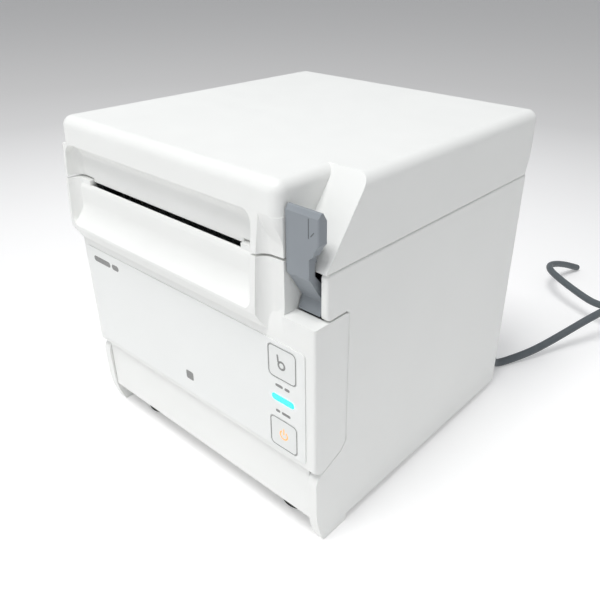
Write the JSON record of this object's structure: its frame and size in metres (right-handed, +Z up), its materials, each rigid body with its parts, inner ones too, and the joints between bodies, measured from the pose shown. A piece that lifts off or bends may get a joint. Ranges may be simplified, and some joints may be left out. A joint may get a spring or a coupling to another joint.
{
  "type": "receipt printer",
  "caption": "Cube-shaped thermal receipt printer with a front paper exit, a hinged lid over the paper bay, an opening lever, keys and a working cutter.",
  "frame": {"origin": "centre of the body's footprint, at the level of the table the feet stand on", "axes": "+Z up, +Y towards the rear with the sockets, +X towards the side with the opening lever (the right, seen from the front)"},
  "size_m": [0.1558, 0.2899, 0.1351],
  "materials": {
    "white_plastic": "fine matt texture, moulded",
    "overlay_film": "printed polycarbonate sheet",
    "key_plastic": "smooth satin",
    "light_lens": "clear lens, lit",
    "lever_plastic": "moulded grey, fine texture",
    "dark_plastic": "moulded",
    "bay_plastic": "moulded, smooth",
    "black_plastic": "moulded",
    "soft_rubber": "matt",
    "roller_rubber": "ground",
    "cable_rubber": "smooth jacket",
    "zinc_steel": "zinc-plated sheet",
    "bright_steel": "ground and plated",
    "blade_steel": "ground tool steel",
    "gear_plastic": "acetal",
    "motor_can": "drawn can",
    "sink_aluminium": "extruded",
    "ceramic_head": "glazed substrate",
    "circuit_board": "solder mask",
    "flex_film": "polyimide film",
    "socket_metal": "tinned shell"
  },
  "bodies": {
    "printer": {"base_plate": "dark_plastic", "base_screws": "zinc_steel", "board_chips": "black_plastic", "connector_plate": "zinc_steel", "cutter_motor": "motor_can", "dc_inlet": "black_plastic", "drawer_socket": "black_plastic", "feed_motor": "motor_can", "frame_posts": "zinc_steel", "frame_screws": "zinc_steel", "front_panel": "white_plastic", "gear_stud": "bright_steel", "head_flex_cable": "flex_film", "head_springs": "bright_steel", "heat_sink": "sink_aluminium", "hinge_pins": "bright_steel", "indicator_led": "light_lens", "lower_case": "white_plastic", "lower_front_cover": "white_plastic", "main_board": "circuit_board", "mechanism_frame": "zinc_steel", "network_socket": "socket_metal", "panel_board": "circuit_board", "panel_overlay": "overlay_film", "paper_bay": "bay_plastic", "paper_guide": "bay_plastic", "paper_sensor": "black_plastic", "power_cable": "cable_rubber", "power_plug": "cable_rubber", "rubber_feet": "soft_rubber", "status_light": "light_lens", "tact_switches": "black_plastic", "thermal_head": "ceramic_head", "usb_socket": "socket_metal"},
    "cover": {"top_cover": "white_plastic", "platen_holder": "zinc_steel", "platen_bushes": "gear_plastic", "fixed_blade": "blade_steel", "holder_screws": "zinc_steel"},
    "platen": {"platen_shaft": "bright_steel", "platen_roller": "roller_rubber", "platen_gear": "gear_plastic"},
    "latch": {"open_lever": "lever_plastic", "latch_shaft": "bright_steel", "latch_hooks": "zinc_steel", "lever_spring": "bright_steel"},
    "reduction": {"reduction_gear": "gear_plastic"},
    "feed_rotor": {"feed_motor_shaft": "bright_steel", "feed_pinion": "gear_plastic"},
    "blade": {"movable_blade": "blade_steel"},
    "cutter": {"cutter_shaft": "bright_steel", "cutter_gear": "gear_plastic"},
    "cutter_rotor": {"cutter_motor_shaft": "bright_steel", "cutter_pinion": "gear_plastic"},
    "feed_button": {"feed_key": "key_plastic"},
    "power_button": {"power_key": "key_plastic"}
  },
  "joints": [
    {"name": "cover_hinge", "type": "hinge", "parent": "printer", "child": "cover", "pos_m": [0, 0.0662, 0.1122], "axis": [-1, 0, 0], "range_deg": [0, 85]},
    {"name": "lever_turn", "type": "hinge", "parent": "printer", "child": "latch", "pos_m": [0, -0.049, 0.098], "axis": [1, 0, 0], "range_deg": [0, 25]},
    {"name": "platen_spin", "type": "hinge", "parent": "cover", "child": "platen", "pos_m": [0, -0.041, 0.113], "axis": [1, 0, 0], "continuous": true},
    {"name": "reduction_spin", "type": "hinge", "parent": "printer", "child": "reduction", "pos_m": [0, -0.03446, 0.10433], "axis": [1, 0, 0], "continuous": true},
    {"name": "feed_motor_spin", "type": "hinge", "parent": "printer", "child": "feed_rotor", "pos_m": [0, -0.03618, 0.08997], "axis": [1, 0, 0], "continuous": true},
    {"name": "blade_lift", "type": "slide", "parent": "printer", "child": "blade", "axis": [0, 0, 1], "range_m": [0, 0.0069]},
    {"name": "cutter_turn", "type": "hinge", "parent": "printer", "child": "cutter", "pos_m": [0, -0.0464, 0.082], "axis": [-1, 0, 0], "range_deg": [0, 83]},
    {"name": "cutter_motor_spin", "type": "hinge", "parent": "printer", "child": "cutter_rotor", "pos_m": [0, -0.03635, 0.0716], "axis": [-1, 0, 0], "range_deg": [-250, 0]},
    {"name": "feed_key_press", "type": "slide", "parent": "printer", "child": "feed_button", "axis": [0, 1, 0], "range_m": [0, 0.0005]},
    {"name": "power_key_press", "type": "slide", "parent": "printer", "child": "power_button", "axis": [0, 1, 0], "range_m": [0, 0.0005]}
  ],
  "couplings": [
    {"joint": "reduction_spin", "follows": "platen_spin", "ratio": -2},
    {"joint": "feed_motor_spin", "follows": "platen_spin", "ratio": 6},
    {"joint": "cutter_turn", "follows": "blade_lift", "rad_per_m": 208.33},
    {"joint": "cutter_motor_spin", "follows": "blade_lift", "rad_per_m": -625}
  ]
}
